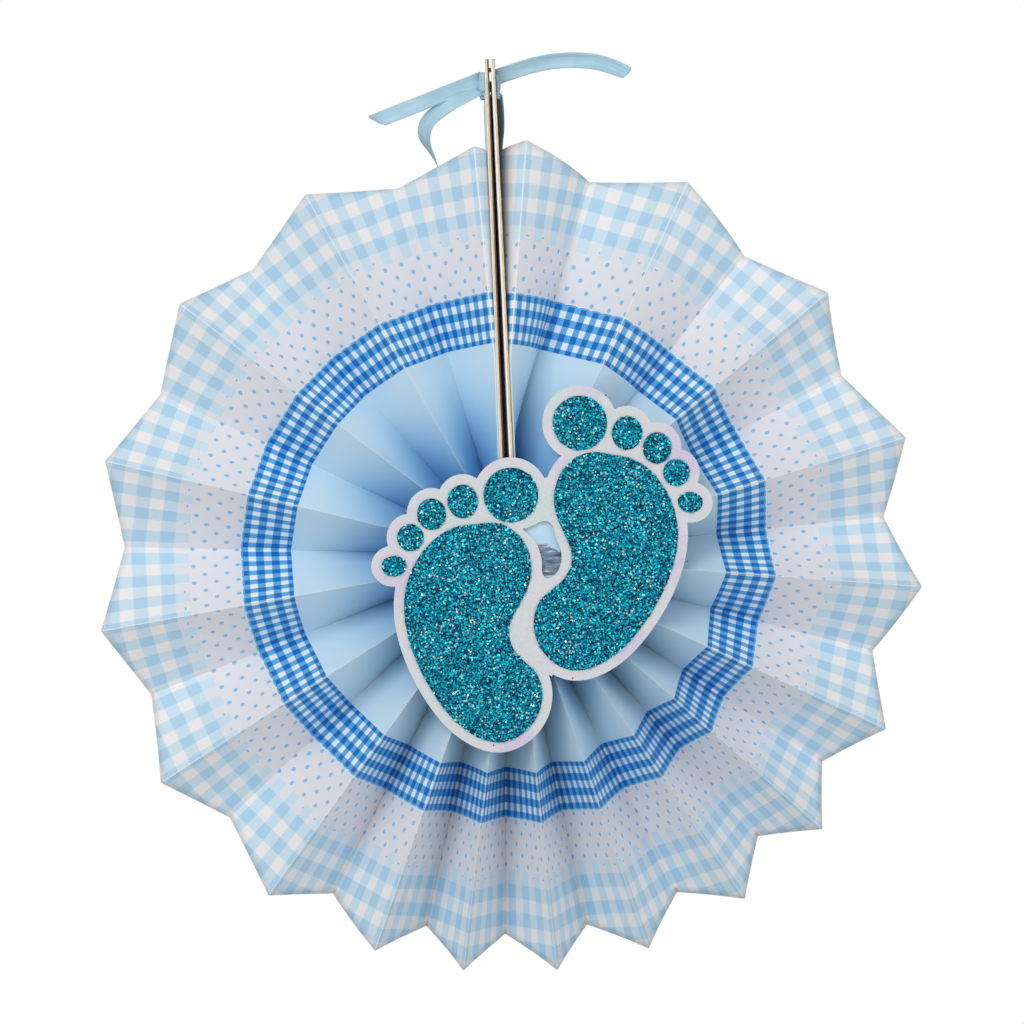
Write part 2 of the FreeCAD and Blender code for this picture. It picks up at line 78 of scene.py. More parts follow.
# Rows of the sheet, as distances from the hub in metres, before its cut edge.
ROWS = [0.006, 0.01, 0.02, 0.042, 0.072]
STEPS_OUT = [1, 2, 4, 8, 22]
STEPS_ACROSS = 12

# How far the middle of a panel bends back from flat, in metres, by its place in the strip.
SAGS = {2: -0.0022, 3: 0.0022, 4: -0.0020, 5: 0.0013, 6: 0.0013, 8: -0.0006, 9: 0.0010, 10: -0.0009,
        24: -0.0009, 28: 0.0010}
USUAL_SAG = 0.0005
# The sag starts at SAG_FROM from the hub and is full after SAG_RUN more.
SAG_FROM, SAG_RUN = 0.03, 0.06
# How far the panels that peel off the cards bow out, as a share of their width.
END_SWELL = 0.76
# Folds counted from each card that would run into its paper if they were straight.
CROWDED_FOLDS = 4

# How far inwards the print sits, in metres, at each twelfth of the strip.
PRINT_SHIFTS = [0.0012, 0.0006, -0.0001, -0.0003, -0.0002, -0.0007, -0.0008, -0.0008, -0.0016, -0.0023,
                -0.0017, -0.0007, 0.0008]

# Ribbon routes in millimetres, sideways from the middle of the knot on their own side.
LEFT_TAIL = [(-0.3, -0.5, 2.4), (-39.6, -4.0, -11.6)]
RIGHT_TAIL = [(0.3, -0.5, 3.0), (14.4, -2.5, 7.6), (29.4, -4.0, 8.4), (41.5, -4.5, 6.2),
              (48.6, -4.5, 1.8)]
LOOP = [(-0.3, -2.0, -1.8), (-10.4, -3.5, -4.8), (-24.2, 1.0, -14.4), (-15.4, 13.5, -28.5),
        (-14.4, 24.0, -42.5), (-17.8, 27.0, -57.0), (-9.6, 27.5, -69.5), (2.4, 27.5, -69.5),
        (10.4, 27.0, -57.0), (7.0, 26.5, -43.5), (1.6, 23.0, -31.0), (1.2, 14.0, -20.5),
        (2.0, 4.5, -11.0), (0.9, 0.5, -2.2)]

GLITTER = [f"{side}_{field}_glitter" for side in ("left", "right") for field in
           ("sole", "big_toe", "second_toe", "third_toe", "fourth_toe", "little_toe")]

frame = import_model()
nodes = frame["nodes"]
body = list(frame["bodies"])[0]
chance = random.Random(7)


def srgb(r, g, b):
    """Linear colour of an 8-bit display colour."""
    def linear(c):
        c /= 255
        return c / 12.92 if c <= 0.04045 else ((c + 0.055) / 1.055) ** 2.4
    return (linear(r), linear(g), linear(b), 1.0)


# Node trees.

class Graph:
    """Shorthand for a node tree: each method adds a node and returns its output."""

    def __init__(self, tree):
        self.tree = tree

    def add(self, kind, **settings):
        node = self.tree.nodes.new(kind)
        for name, value in settings.items():
            setattr(node, name, value)
        return node

    def feed(self, socket, value):
        if hasattr(value, "is_output"):
            self.tree.links.new(value, socket)
        else:
            socket.default_value = value

    def calc(self, operation, *values):
        node = self.add("ShaderNodeMath", operation=operation)
        for socket, value in zip(node.inputs, values):
            self.feed(socket, value)
        return node.outputs[0]

    def blend(self, share, a, b):
        node = self.add("ShaderNodeMix", data_type="RGBA")
        for index, value in ((0, share), (6, a), (7, b)):
            self.feed(node.inputs[index], value)
        return node.outputs[2]

    def smooth(self, value, low, high, start=0.0, end=1.0):
        node = self.add("ShaderNodeMapRange", interpolation_type="SMOOTHSTEP")
        for index, given in enumerate((value, low, high, start, end)):
            self.feed(node.inputs[index], given)
        return node.outputs[0]

    def tones(self, value, stops, interpolation):
        """Colour by a value, from two or more (position, colour) stops."""
        node = self.add("ShaderNodeValToRGB")
        scale = node.color_ramp
        scale.interpolation = interpolation
        scale.elements[1].position = stops[-1][0]
        scale.elements[1].color = stops[-1][1]
        scale.elements[0].position = stops[0][0]
        scale.elements[0].color = stops[0][1]
        for position, colour in stops[1:-1]:
            scale.elements.new(position).color = colour
        self.feed(node.inputs[0], value)
        return node.outputs[0]

    def noise(self, vector, scale, detail):
        node = self.add("ShaderNodeTexNoise")
        self.feed(node.inputs["Vector"], vector)
        self.feed(node.inputs["Scale"], scale)
        self.feed(node.inputs["Detail"], detail)
        return node.outputs["Fac"]

    def bump(self, height, strength, distance):
        node = self.add("ShaderNodeBump")
        self.feed(node.inputs["Strength"], strength)
        self.feed(node.inputs["Distance"], distance)
        self.feed(node.inputs["Height"], height)
        return node.outputs[0]


def group_tree(name, inputs, outputs):
    """A shader group with its sockets, and the shorthand to fill it."""
    tree = bpy.data.node_groups.new(name, "ShaderNodeTree")
    for word in inputs:
        tree.interface.new_socket(name=word, in_out="INPUT", socket_type="NodeSocketFloat")
    for word in outputs:
        tree.interface.new_socket(name=word, in_out="OUTPUT", socket_type="NodeSocketFloat")
    graph = Graph(tree)
    return graph, graph.add("NodeGroupInput").outputs, graph.add("NodeGroupOutput").inputs


def gingham_group():
    """Woven check: how many of the two ways of bands cover a point, 0 to 2."""
    graph, given, result = group_tree("gingham", ("U", "V", "Period U", "Period V", "Duty"), ("Cover",))
    bands = []
    for word in ("U", "V"):
        turn = graph.calc("DIVIDE", given[word], given["Period " + word])
        place = graph.calc("ABSOLUTE", graph.calc("SUBTRACT", graph.calc("FLOORED_MODULO", turn, 1.0), 0.5))
        half = graph.calc("MULTIPLY", given["Duty"], 0.5)
        edge = graph.calc("SUBTRACT", half, place)
        bands.append(graph.smooth(edge, -BAND_SOFTNESS, BAND_SOFTNESS))
    graph.feed(result["Cover"], graph.calc("ADD", *bands))
    return graph.tree


def use_group(graph, tree, **values):
    """Output of a group node with its inputs set."""
    node = graph.add("ShaderNodeGroup", node_tree=tree)
    for name, value in values.items():
        graph.feed(node.inputs[name.replace("_", " ")], value)
    return node.outputs[0]


def material(name, base, roughness, **constants):
    """A material with constant values, the shorthand for its nodes and its shader's inputs."""
    made = bpy.data.materials.new(name)
    made.use_nodes = True
    shader = made.node_tree.nodes["Principled BSDF"].inputs
    shader["Base Color"].default_value = base
    shader["Roughness"].default_value = roughness
    for word, value in constants.items():
        shader[word.replace("_", " ").title()].default_value = value
    return made, Graph(made.node_tree), shader


WHITE = srgb(227, 228, 233)
PLAIN_BLUE = srgb(208, 233, 247)
# Painted shade: the plain blue is painted darker towards the hub, where the pleats crowd in.
HUB_SHADE_BLUE = srgb(134, 194, 237)
DARK_CHECK = (srgb(246, 245, 246), srgb(92, 176, 230), srgb(8, 110, 194))
LIGHT_CHECK = (srgb(239, 236, 236), srgb(204, 225, 238), srgb(174, 210, 234))
DOT_BLUE = srgb(138, 192, 228)
HAIRLINE_BLUE = srgb(212, 230, 244)
# Paler crest colour: worn ink and a painted highlight on the front folds.
CREST_WEAR_AND_HIGHLIGHT = srgb(238, 240, 243)

# The print, by distance from the hub: a hairline and a dark check ring with scallops, dots, a light border.
RING_IN, RING_OUT, HAIRLINE, SCALLOP = 0.0787, 0.09675, 0.0003, 0.0007
RING_COLUMN, RING_ROW = PANEL / 6, 0.0057
CHECK_COLUMN, CHECK_ROW = PANEL * 2 / 7, 0.0104
CHECK_IN = 0.1196
DOT_COLUMN, DOT_ROW = PANEL / 4, 0.0041
DOT_CORE, DOT_EDGE = 0.00070, 0.00102
BAND_SOFTNESS = 0.03
GINGHAM = gingham_group()


def check_colours(graph, cover, colours):
    """Colour of a check from how many bands cover a point."""
    one = graph.calc("MINIMUM", cover, 1.0)
    two = graph.calc("MAXIMUM", graph.calc("SUBTRACT", cover, 1.0), 0.0)
    return graph.blend(two, graph.blend(one, colours[0], colours[1]), colours[2])


def dots(graph, u, v):
    """Staggered polka dots."""
    far = []
    for shift in (0.0, 0.5):
        near_u = graph.calc("PINGPONG", graph.calc("ADD", u, 1 + shift * DOT_COLUMN), DOT_COLUMN / 2)
        near_v = graph.calc("PINGPONG", graph.calc("ADD", v, 1 + shift * 2 * DOT_ROW), DOT_ROW)
        far.append(graph.calc("SQRT", graph.calc("ADD", graph.calc("POWER", near_u, 2.0),
                                                 graph.calc("POWER", near_v, 2.0))))
    nearest = graph.calc("MINIMUM", *far)
    return graph.smooth(nearest, DOT_CORE, DOT_EDGE, 1.0, 0.0)


def ring_colours(graph, u, v):
    """The dark check ring, with scallops on its outer edge, and whether a point is in it."""
    ring_v = graph.calc("SUBTRACT", v, RING_IN + HAIRLINE - RING_ROW / 2)
    cover = use_group(graph, GINGHAM, U=u, V=ring_v, Period_U=RING_COLUMN, Period_V=RING_ROW, Duty=0.51)
    half = RING_COLUMN / 2
    column = graph.calc("DIVIDE", graph.calc("PINGPONG", graph.calc("ADD", u, half), half), half)
    bulge = graph.calc("SQRT", graph.calc("SUBTRACT", 1.001, graph.calc("POWER", column, 2.0)))
    rim = graph.calc("ADD", RING_OUT, graph.calc("MULTIPLY", bulge, SCALLOP))
    colours = graph.blend(graph.calc("GREATER_THAN", v, RING_OUT), check_colours(graph, cover, DARK_CHECK),
                          DARK_CHECK[1])
    return colours, graph.calc("LESS_THAN", v, rim)


def border_colours(graph, u, v):
    """The light check border, stepped by one check on its inner edge, and whether a point is in it."""
    out = graph.calc("SUBTRACT", v, CHECK_IN)
    cover = use_group(graph, GINGHAM, U=u, V=out, Period_U=CHECK_COLUMN, Period_V=CHECK_ROW, Duty=0.5)
    turn = graph.calc("FLOORED_MODULO", graph.calc("DIVIDE", u, CHECK_COLUMN), 1.0)
    column = graph.calc("LESS_THAN", graph.calc("ABSOLUTE", graph.calc("SUBTRACT", turn, 0.5)), 0.25)
    start = graph.calc("SUBTRACT", CHECK_IN + CHECK_ROW / 4, graph.calc("MULTIPLY", column, CHECK_ROW / 2))
    return check_colours(graph, cover, LIGHT_CHECK), graph.calc("GREATER_THAN", v, start)


def printed_paper():
    """Front of the strip: plain blue, a dark check ring, polka dots and a light check border."""
    made, graph, shader = material("printed_paper", WHITE, 0.55)
    place = graph.add("ShaderNodeUVMap", uv_map="Strip").outputs[0]
    parts = graph.add("ShaderNodeSeparateXYZ")
    graph.feed(parts.inputs[0], place)
    u, v = parts.outputs[0], parts.outputs[1]
    border, in_border = border_colours(graph, u, v)
    ring, in_ring = ring_colours(graph, u, v)
    spots = graph.calc("MULTIPLY", dots(graph, u, v), graph.calc("LESS_THAN", v, CHECK_IN - 0.0005))
    colour = graph.blend(in_border, graph.blend(spots, WHITE, DOT_BLUE), border)
    colour = graph.blend(in_ring, colour, ring)
    colour = graph.blend(graph.calc("LESS_THAN", v, RING_IN), colour, HAIRLINE_BLUE)
    # Painted shade: the plain blue darkens towards the hub.
    plain = graph.blend(graph.smooth(v, 0.03, 0.074), HUB_SHADE_BLUE, PLAIN_BLUE)
    colour = graph.blend(graph.calc("LESS_THAN", v, RING_IN - HAIRLINE), colour, plain)
    # Paler along the front folds: ink worn off, and a painted highlight where the rounded crests catch the
    # light.
    fold = graph.calc("DIVIDE", u, PANEL)
    to_front = graph.calc("MULTIPLY", graph.calc("PINGPONG", graph.calc("ADD", fold, 1.0), 1.0), PANEL)
    to_back = graph.calc("MULTIPLY", graph.calc("PINGPONG", fold, 1.0), PANEL)
    crest_jitter = graph.noise(place, 900.0, 3.0)
    crest = graph.smooth(graph.calc("ADD", to_front, graph.calc("MULTIPLY", crest_jitter, 0.0004)),
                         0.0003, 0.0006, 0.85, 0.0)
    colour = graph.blend(crest, colour, CREST_WEAR_AND_HIGHLIGHT)
    graph.feed(shader["Base Color"], colour)
    grain = graph.noise(place, 2600.0, 3.0)
    wrinkle = graph.calc("MULTIPLY", graph.noise(place, 420.0, 4.0),
                         graph.smooth(to_back, 0.0, 0.004, 1.0, 0.05))
    height = graph.calc("ADD", graph.calc("MULTIPLY", grain, 0.15), wrinkle)
    graph.feed(shader["Normal"], graph.bump(height, 0.5, 0.0006))
    return made


def plain_paper():
    """Back and edges of the strip: white, with faint fibres."""
    made, graph, shader = material("plain_paper", srgb(238, 235, 228), 0.75)
    place = graph.add("ShaderNodeTexCoord").outputs["Object"]
    fibre = graph.noise(place, 900.0, 5.0)
    graph.feed(shader["Base Color"], graph.blend(graph.smooth(fibre, 0.35, 0.7), srgb(234, 230, 222),
                                                 srgb(243, 241, 236)))
    graph.feed(shader["Normal"], graph.bump(fibre, 0.25, 0.0003))
    return made


def chipboard(name, white_to, shade_from):
    """Cream card, white on its left face, with painted shade along its right edge."""
    made, graph, shader = material(name, srgb(225, 212, 175), 0.8)
    place = graph.add("ShaderNodeTexCoord").outputs["Object"]
    parts = graph.add("ShaderNodeSeparateXYZ")
    graph.feed(parts.inputs[0], graph.add("ShaderNodeUVMap", uv_map="Board").outputs[0])
    stretched = graph.add("ShaderNodeMapping")
    graph.feed(stretched.inputs["Vector"], place)
    stretched.inputs["Scale"].default_value = (3.0, 1.0, 0.25)
    fibre = graph.noise(stretched.outputs[0], 1400.0, 4.0)
    core = graph.blend(graph.smooth(fibre, 0.35, 0.68), srgb(206, 190, 150), srgb(236, 225, 192))
    rough = graph.calc("MULTIPLY_ADD", fibre, 0.0003, -0.00015)
    edge = graph.calc("ADD", parts.outputs[0], rough)
    colour = graph.blend(graph.calc("LESS_THAN", parts.outputs[0], white_to), core, srgb(247, 246, 243))
    # Painted shade: the card's right edge, in shadow in the narrow gap, is painted dark brown.
    colour = graph.blend(graph.calc("GREATER_THAN", edge, shade_from), colour, srgb(96, 66, 62))
    graph.feed(shader["Base Color"], colour)
    graph.feed(shader["Normal"], graph.bump(fibre, 0.35, 0.0004))
    return made


# Heights where a card is cut across, so that its free top can turn.
CARD_CUTS = (0.004, 0.001, -0.002, -0.006, -0.012, -0.018, -0.023, -0.028)
# Where a card's white lining ends and the painted shade of its right edge begins, from its left face.
LININGS = {"right_end_card": (0.0006, 0.00138), "left_end_card": (0.0002, 0.00095)}


def ramp(value, start, run):
    """From 0 to 1 over a run."""
    return min(1, max(0, (value - start) / run))


def card_turn(height):
    """How far a card turns edge on to the front: first above the fan, then once more at the eye."""
    return 0.035 * ramp(height, -0.029, 0.006) + 0.03 * ramp(height, -0.006, 0.008)


def add_end_card(name, finish):
    """An end card; its free top turns edge on to the front."""
    shape = bmesh.new()
    shape.from_mesh(nodes[name].data)
    slope = math.tan(SPLAY) if name == "left_end_card" else 0
    outer = min(v.co.x - v.co.z * slope for v in shape.verts)
    for height in CARD_CUTS:
        whole = shape.verts[:] + shape.edges[:] + shape.faces[:]
        bmesh.ops.bisect_plane(shape, geom=whole, plane_co=(0, 0, height), plane_no=(0, 0, 1))
    board = shape.loops.layers.uv.new("Board")
    for face in shape.faces:
        for loop in face.loops:
            spot = loop.vert.co
            loop[board].uv = (spot.x - spot.z * slope - outer, spot.z)
    for vertex in shape.verts:
        vertex.co.x += (vertex.co.y + PANEL / 2) * card_turn(vertex.co.z)
    mesh = bpy.data.meshes.new(name + "_board")
    shape.to_mesh(mesh)
    shape.free()
    mesh.materials.clear()
    mesh.materials.append(finish)
    piece = bpy.data.objects.new(name + "_board", mesh)
    bpy.context.collection.objects.link(piece)
    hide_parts(name)
    return piece


def pearl_card():
    """Silver pearl card with a faint lilac and green play of colour and a painted highlight on its rounded
    edge.
    """
    made, graph, shader = material("pearl_card", srgb(212, 211, 218), 0.32, coat_weight=0.4,
                                   coat_roughness=0.25)
    place = graph.add("ShaderNodeTexCoord").outputs["Object"]
    cloud = graph.noise(place, 38.0, 2.0)
    sheen = graph.tones(cloud, [(0.32, srgb(204, 192, 222)), (0.46, srgb(213, 212, 218)),
                                (0.7, srgb(200, 216, 214))], "LINEAR")
    grain = graph.noise(place, 3500.0, 2.0)
    speckle = graph.blend(graph.smooth(grain, 0.42, 0.66, 0.0, 0.35), sheen, srgb(240, 240, 243))
    parts = graph.add("ShaderNodeSeparateXYZ")
    graph.feed(parts.inputs[0], graph.add("ShaderNodeNewGeometry").outputs["Normal"])
    level = graph.calc("ABSOLUTE", parts.outputs[1])
    # Painted highlight: where the rounded edge turns away from the front it is painted near white.
    colour = graph.blend(graph.smooth(level, 0.8, 0.985, 1.0, 0.0), speckle, srgb(252, 250, 246))
    colour = graph.blend(graph.smooth(level, 0.1, 0.3, 0.6, 0.0), colour, srgb(226, 212, 190))
    graph.feed(shader["Base Color"], colour)
    graph.feed(shader["Normal"], graph.bump(grain, 0.3, 0.0002))
    return made


def glitter_finish():
    """Flakes and their bed: each flake's colour is read from its own point of the flake map."""
    made, graph, shader = material("glitter", srgb(0, 110, 140), 0.25, metallic=0.75)
    flake = graph.add("ShaderNodeUVMap", uv_map="Flake").outputs[0]
    parts = graph.add("ShaderNodeSeparateXYZ")
    graph.feed(parts.inputs[0], flake)
    tones = [(0.0, srgb(0, 60, 88)), (0.14, srgb(0, 108, 146)), (0.32, srgb(0, 150, 182)),
             (0.52, srgb(0, 184, 210)), (0.74, srgb(20, 212, 230)), (0.9, srgb(130, 224, 232)),
             (0.97, srgb(238, 240, 228))]
    graph.feed(shader["Base Color"], graph.tones(parts.outputs[0], tones, "CONSTANT"))
    graph.feed(shader["Roughness"], graph.calc("MULTIPLY_ADD", parts.outputs[1], 0.35, 0.18))
    return made


def glue_finish():
    """Clear glue painted with the slate shade of the hub seen through it, with pale streaks."""
    made, graph, shader = material("hub_glue", srgb(96, 116, 138), 0.22, coat_weight=0.5)
    place = graph.add("ShaderNodeTexCoord").outputs["Object"]
    stretched = graph.add("ShaderNodeMapping")
    graph.feed(stretched.inputs["Vector"], place)
    stretched.inputs["Rotation"].default_value = (0.0, 0.5, 0.0)
    stretched.inputs["Scale"].default_value = (0.5, 1.0, 2.0)
    streak = graph.noise(stretched.outputs[0], 330.0, 5.0)
    # Painted shade: slate blues stand for the dark hub seen through the clear glue.
    dark = graph.blend(graph.smooth(streak, 0.36, 0.5), srgb(62, 80, 104), srgb(112, 134, 158))
    streaked = graph.blend(graph.smooth(streak, 0.53, 0.68), dark, srgb(196, 210, 222))
    graph.feed(shader["Base Color"], streaked)
    graph.feed(shader["Normal"], graph.bump(streak, 0.8, 0.001))
    return made


def satin():
    """Pale blue satin: fine threads along the ribbon and a broad soft sheen, painted as darker patches."""
    made, graph, shader = material("satin_ribbon", srgb(168, 206, 222), 0.38)
    place = graph.add("ShaderNodeUVMap", uv_map="Ribbon").outputs[0]
    stretched = graph.add("ShaderNodeMapping")
    graph.feed(stretched.inputs["Vector"], place)
    stretched.inputs["Scale"].default_value = (60.0, 6000.0, 1.0)
    thread = graph.noise(stretched.outputs[0], 1.0, 2.0)
    cloud = graph.noise(place, 90.0, 2.0)
    colour = graph.blend(graph.smooth(thread, 0.3, 0.7), srgb(160, 200, 217), srgb(186, 219, 231))
    # Painted sheen: broad darker patches of blue across the ribbon.
    colour = graph.blend(graph.smooth(cloud, 0.4, 0.7, 0.0, 0.3), colour, srgb(130, 180, 206))
    graph.feed(shader["Base Color"], colour)
    graph.feed(shader["Normal"], graph.bump(thread, 0.3, 0.0002))
    return made


# The pleated sheet.

def turned(angle, radius, depth):
    """A point by its direction from straight up, its distance from the hub and its depth."""
    turn = math.radians(angle)
    return Vector((radius * math.sin(turn), depth, radius * math.cos(turn)))


def paper_face(side, height):
    """Sideways place of the middle of the paper glued on a card: 1 is right and -1 left."""
    face = GAP / 2 + CARD + PAPER / 2
    if side > 0:
        return face
    return -face - (EYE_HEIGHT - height) * math.tan(SPLAY)


def rim_depth(spacing):
    """Depth of a fold at the rim, so that a panel keeps its width over a spacing in degrees."""
    chord = 2 * NOTCH * math.sin(math.radians(spacing / 2))
    return max(CREASE, PANEL / 2 * math.sqrt(1 - min(1.0, chord / PANEL) ** 2))


def free_fold(angle, radius, depths, order):
    """A straight fold out from the hub: its points, each with its distance from the hub."""
    points = []
    for place in ROWS + [radius]:
        share = (place - HUB_RADIUS) / (radius - HUB_RADIUS)
        point = turned(angle, place, depths[0] + share * (depths[1] - depths[0]))
        if order < CROWDED_FOLDS and point.z > 0:
            side = math.copysign(1, point.x)
            point.x = side * max(abs(point.x), abs(paper_face(side, point.z)) + (order + 2) * LAYER)
        points.append((point, place))
    return points


def held_fold(angle, rim):
    """The first back fold: pressed to the right card, then straight out to the rim."""
    end = turned(angle, NOTCH, rim)
    points = []
    for place in ROWS + [NOTCH]:
        held = paper_face(1, place) + 2 * LAYER
        away = max(0.0, (place - HOLD) / (NOTCH - HOLD))
        along, up = (place - HUB_RADIUS) / (NOTCH - HUB_RADIUS), min(place, HOLD)
        points.append((Vector((held + away * (end.x - held), PANEL / 2 + along * (rim - PANEL / 2),
                               up + away * (end.z - up))), place))
    return points


def stand_off(side, angle, tip, place):
    """How far the front fold beside a card stands off the paper glued on the card."""
    full = abs(turned(angle, tip, 0).x) - abs(paper_face(side, tip))
    away = max(0.0, (place - CLING) / (tip - CLING))
    return LAYER + away * (full - LAYER)


def end_lines(side, angle, tip):
    """The strip's end on a card's back edge, the bend that leaves the card and the first fold."""
    point = turned(angle, tip, 0)
    forward = PEEL - math.sqrt(PEEL ** 2 - 1)
    edge = [(Vector((paper_face(side, place), PANEL / 2, place)), place) for place in ROWS + [NOTCH]]
    fold = []
    for place in ROWS + [tip]:
        off = stand_off(side, angle, tip, place)
        away = max(0.0, (place - CLING) / (tip - CLING))
        fold.append((Vector((paper_face(side, place) + side * off, forward * off - PANEL / 2,
                             place + away * (point.z - place))), place))
    last = tip - (tip - NOTCH) * PEEL * stand_off(side, angle, tip, tip) / PANEL
    leaving = []
    for place in ROWS + [last]:
        depth = PEEL * stand_off(side, angle, tip, place) - PANEL / 2
        leaving.append((Vector((paper_face(side, place), depth, place)), place))
    return [edge, leaving, fold]


def sheet_lines():
    """Fold lines in order round the fan, as in the part."""
    behind = [rim_depth((b - a) / 2) for a, b in zip(FRONT_FOLDS, FRONT_FOLDS[1:])]
    last = 2 * len(BACK_FOLDS) - 2
    lines = end_lines(1, FRONT_FOLDS[0], TIP) + [held_fold(BACK_FOLDS[0], behind[0])]
    for k in range(1, len(BACK_FOLDS)):
        ahead = -(behind[k - 1] + behind[k]) / 2
        lines.append(free_fold(FRONT_FOLDS[k], TIP, (-PANEL / 2, ahead), min(2 * k - 1, last - 2 * k + 1)))
        lines.append(free_fold(BACK_FOLDS[k], NOTCH, (PANEL / 2, behind[k]), min(2 * k, last - 2 * k)))
    return lines + end_lines(-1, FRONT_FOLDS[-1], LAST_TIP)[::-1]


def strip_place(k, count, point):
    """Distance along the flat strip of a point on line k: front folds lie at odd panels."""
    if k in (0, count - 1):
        return 0.0 if k == 0 else (count - 3) * PANEL
    if k == 1:
        return PANEL / 2 - point.y
    if k == count - 2:
        return (count - 3.5) * PANEL + point.y
    return (k - 1) * PANEL


def fine_rows(line):
    """A fold line with more points between its rows."""
    points = []
    for (a, start), (b, end), steps in zip(line, line[1:], STEPS_OUT):
        points += [(a.lerp(b, i / steps), start + (end - start) * i / steps) for i in range(steps)]
    return points + [line[-1]]


def sag(across, out, k):
    """How far a panel bends back from flat."""
    reach = min(1.0, max(0.0, (out - SAG_FROM) / SAG_RUN))
    return SAGS.get(k, USUAL_SAG) * 4 * across * (1 - across) * reach


def panel_point(k, count, share, ends, facing, bend):
    """Point of a panel between two fold lines, a share of the way across it."""
    (a, start), (b, end) = ends
    flat = a.lerp(b, share)
    if k in (0, count - 2):
        return flat
    if k in (1, count - 3):
        side = 1 if k == 1 else -1
        swell = END_SWELL * max(0.0, (b - a).length - PEEL * LAYER) * share * (1 - share)
        return flat + Vector((-side, -1, 0)).normalized() * swell
    return flat + facing * (sag(share, start + (end - start) * share, k) * bend)


def print_shift(panel):
    """The print was cut askew: it sits further out on the left of the fan."""
    last = len(PRINT_SHIFTS) - 1
    place = min(max(panel / PANELS * last, 0), last)
    low = min(int(place), last - 1)
    return PRINT_SHIFTS[low] + (PRINT_SHIFTS[low + 1] - PRINT_SHIFTS[low]) * (place - low)


def make_mesh(name, points, faces, maps, finishes):
    """A mesh object with UV maps given as {name: [uv for each point]}."""
    mesh = bpy.data.meshes.new(name)
    mesh.from_pydata([tuple(p) for p in points], [], faces)
    for word, values in maps.items():
        layer = mesh.uv_layers.new(name=word)
        for loop in mesh.loops:
            layer.data[loop.index].uv = values[loop.vertex_index]
    mesh.update()
    piece = bpy.data.objects.new(name, mesh)
    bpy.context.collection.objects.link(piece)
    for finish in finishes:
        mesh.materials.append(finish)
    return piece


def thicken(piece, thickness, offset):
    """Gives a sheet its thickness: offset 0 is on both sides and -1 behind its faces."""
    thick = piece.modifiers.new("thickness", "SOLIDIFY")
    thick.thickness = thickness
    thick.offset = offset
    return thick


def smooth_faces(mesh):
    """Shades every face smooth."""
    for face in mesh.polygons:
        face.use_smooth = True


def sharpen(mesh, degrees):
    """Smooth faces with sharp edges where they meet at more than an angle."""
    smooth_faces(mesh)
    mesh.set_sharp_from_angle(angle=math.radians(degrees))


def panel_facing(lines, k, row):
    """Direction to the back, square to a panel."""
    near, far = max(0, row - 1), min(len(lines[k]) - 1, row + 1)
    across = lines[k + 1][row][0] - lines[k][row][0]
    along = lines[k][far][0] - lines[k][near][0]
    facing = across.cross(along).normalized()
    return -facing if facing.y < 0 else facing


def add_sheet(front, back):
    """The strip as one mesh of panels, each a grid between two fold lines."""
    lines = [fine_rows(line) for line in sheet_lines()]
    rows, count = len(lines[0]), len(lines)
    points, faces, strip = [], [], []
    for k in range(count - 1):
        first = len(points) - (rows if k else 0)
        bend = 0.75 + 0.5 * chance.random()
        for i in range(0 if k == 0 else 1, STEPS_ACROSS + 1):
            share = i / STEPS_ACROSS
            for row in range(rows):
                ends = lines[k][row], lines[k + 1][row]
                facing = panel_facing(lines, k, row)
                points.append(panel_point(k, count, share, ends, facing, bend) + HUB)
                (a, start), (b, end) = ends
                starts, stops = strip_place(k, count, a), strip_place(k + 1, count, b)
                along = starts + (stops - starts) * share
                strip.append((along, start + (end - start) * share + print_shift(along / PANEL)))
        for i in range(STEPS_ACROSS):
            for row in range(rows - 1):
                corner = first + i * rows + row
                faces.append((corner, corner + rows, corner + rows + 1, corner + 1))
    piece = make_mesh("fan_sheet", points, faces, {"Strip": strip}, (front, back))
    sharpen(piece.data, 20)
    thick = thicken(piece, PAPER, 0)
    thick.material_offset = 1
    thick.material_offset_rim = 1
    return piece


# The footprints.

FLAKE, FLAKE_PITCH, FLAKE_JITTER = 0.00037, 0.00060, 0.0003
# How far flakes stand out of their bed, and a ray that finds the bed from in front of it.
FLAKE_LIFT = (0.00005, 0.00035)
RAY_START, RAY_REACH = 0.01, 0.0105
# Places of a few flakes that came off on to the footprint card.
STRAYS = [(-0.047, -0.172), (0.004, -0.1445), (0.0365, -0.116), (0.062, -0.1615), (-0.0105, -0.2415),
          (0.0195, -0.2185), (0.0635, -0.178), (-0.0385, -0.1555)]


def add_flake(points, faces, tones, middle, facing, size):
    """One six-cornered flake with a colour of its own."""
    side = facing.cross(Vector((0.3, 0.1, 1))).normalized()
    up = facing.cross(side)
    first = len(points)
    turn = chance.uniform(0, math.pi)
    tone = (chance.random(), chance.random())
    for i in range(6):
        angle = turn + i * math.pi / 3
        points.append(middle + (side * math.cos(angle) + up * math.sin(angle)) * size)
        tones.append(tone)
    faces.append(tuple(range(first, first + 6)))


def flake_way(spread):
    """Direction that a flake faces, near the front."""
    tilt = abs(chance.gauss(0, spread))
    turn = chance.uniform(0, 2 * math.pi)
    return Vector((math.sin(tilt) * math.cos(turn), -math.cos(tilt), math.sin(tilt) * math.sin(turn)))


